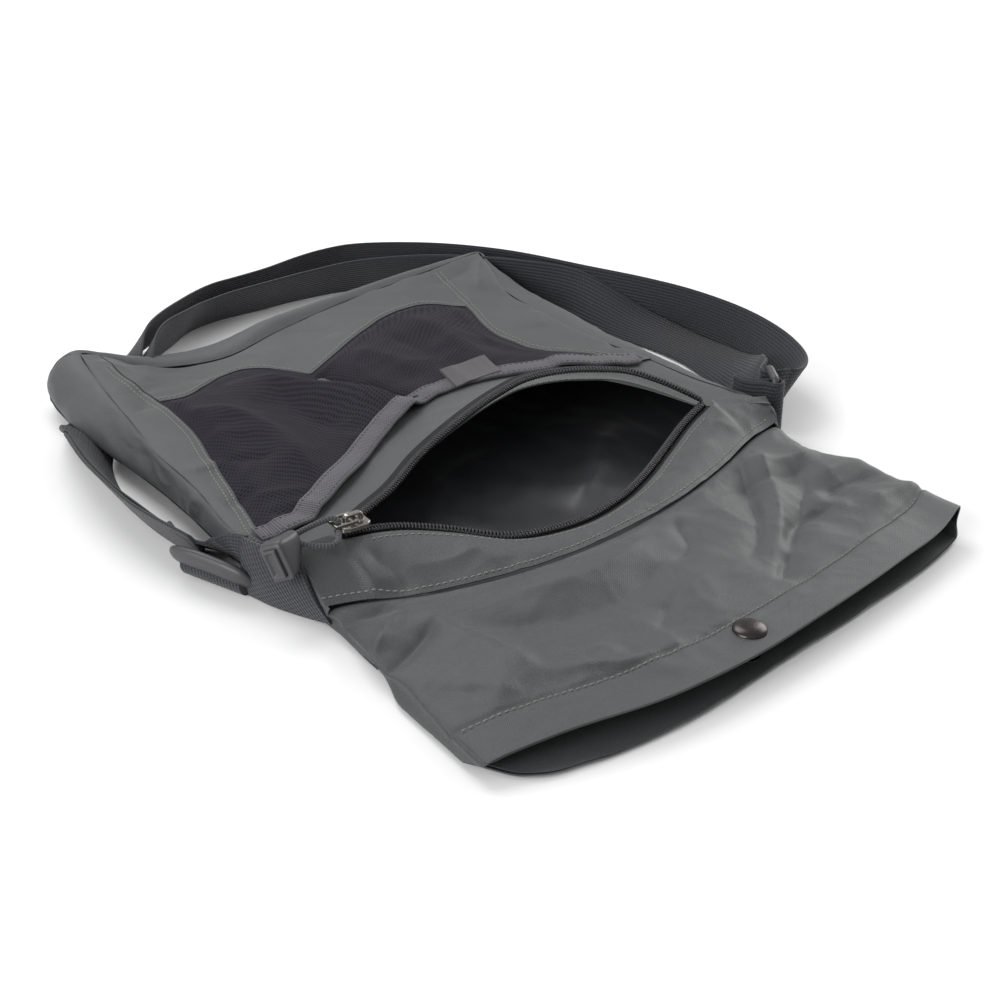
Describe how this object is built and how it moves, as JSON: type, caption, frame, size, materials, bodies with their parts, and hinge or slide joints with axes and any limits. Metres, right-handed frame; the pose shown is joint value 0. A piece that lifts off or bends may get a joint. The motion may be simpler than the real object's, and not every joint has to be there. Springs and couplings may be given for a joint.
{
  "type": "shoulder pouch",
  "caption": "Flat shoulder pouch lying on its back: zipped front with mesh pocket, open neck with a snap that folds over the front, and an adjustable webbing strap.",
  "frame": {"origin": "middle of the back panel's outer face", "axes": "+Z out of the front through the pouch's thickness, +Y towards the closed bottom end, -Y towards the open mouth, +X to the side with the strap ring"},
  "size_m": [0.3327, 0.4203, 0.0394],
  "materials": {
    "body_cloth": "matt coated ripstop nylon",
    "gusset_cloth": "matt coated nylon",
    "mesh_cloth": "open polyester mesh",
    "binding": "ribbed woven tape",
    "label_tape": "folded woven tape",
    "zip_tape": "woven zip tape",
    "zip_coil": "nylon coil",
    "care_label": "printed satin tape, left blank",
    "snap_metal": "dark lacquered brass",
    "slider_metal": "gunmetal plating",
    "cord": "braided cord",
    "strap_plastic": "moulded acetal, fine matt",
    "webbing": "ribbed woven webbing"
  },
  "bodies": {
    "pouch_body": {"back_panel": "body_cloth", "gusset_left": "gusset_cloth", "gusset_right": "gusset_cloth", "gusset_bottom": "gusset_cloth", "care_label": "care_label", "front_panel": "body_cloth", "front_strip_left": "body_cloth", "front_strip_right": "body_cloth", "front_yoke": "body_cloth", "mesh_pocket": "mesh_cloth", "pocket_binding": "binding", "label_tab": "label_tape", "zip_tape_upper": "zip_tape", "zip_tape_lower": "zip_tape", "zip_coil_upper": "zip_coil", "zip_coil_lower": "zip_coil", "zip_facing": "body_cloth", "neck_collar": "body_cloth"},
    "neck_flap": {"neck_back": "body_cloth", "snap_stud": "snap_metal", "snap_post": "snap_metal"},
    "neck_mouth": {"neck_front": "body_cloth", "snap_cap": "snap_metal", "snap_socket": "snap_metal"},
    "slider": {"zip_slider": "slider_metal"},
    "puller": {"zip_puller": "slider_metal"},
    "cord": {"pull_cord": "cord", "cord_end": "strap_plastic", "cord_end_plug": "strap_plastic"},
    "strap": {"shoulder_strap": "webbing", "ring_tab": "webbing"},
    "ring": {"strap_ring": "strap_plastic"},
    "adjuster": {"strap_adjuster": "strap_plastic", "strap_end_loop": "webbing"}
  },
  "joints": [
    {"name": "neck_fold", "type": "hinge", "parent": "pouch_body", "child": "neck_flap", "pos_m": [0, -0.135, 0.02], "axis": [-1, 0, 0], "range_deg": [0, 150]},
    {"name": "mouth_open", "type": "hinge", "parent": "neck_flap", "child": "neck_mouth", "pos_m": [0, -0.1362, 0.0145], "axis": [-1, 0, 0], "range_deg": [-3.6, 15]},
    {"name": "zip_slide", "type": "slide", "parent": "pouch_body", "child": "slider", "axis": [1, 0, 0], "range_m": [0, 0.168]},
    {"name": "puller_swing", "type": "hinge", "parent": "slider", "child": "puller", "pos_m": [-0.088, -0.084, 0.0306], "axis": [0, 1, 0], "range_deg": [0, 140]},
    {"name": "cord_swing", "type": "hinge", "parent": "puller", "child": "cord", "pos_m": [-0.0965, -0.084, 0.0306], "axis": [0, 1, 0], "range_deg": [0, 35]},
    {"name": "strap_swing", "type": "hinge", "parent": "pouch_body", "child": "strap", "pos_m": [0, -0.066, 0.018], "axis": [1, 0, 0], "range_deg": [0, 150]},
    {"name": "ring_swing", "type": "hinge", "parent": "strap", "child": "ring", "pos_m": [0.127, -0.08, 0.015], "axis": [0, 0, 1], "range_deg": [-7, 7]},
    {"name": "adjuster_slide", "type": "slide", "parent": "strap", "child": "adjuster", "axis": [0, 1, 0], "range_m": [0, 0.074]}
  ]
}
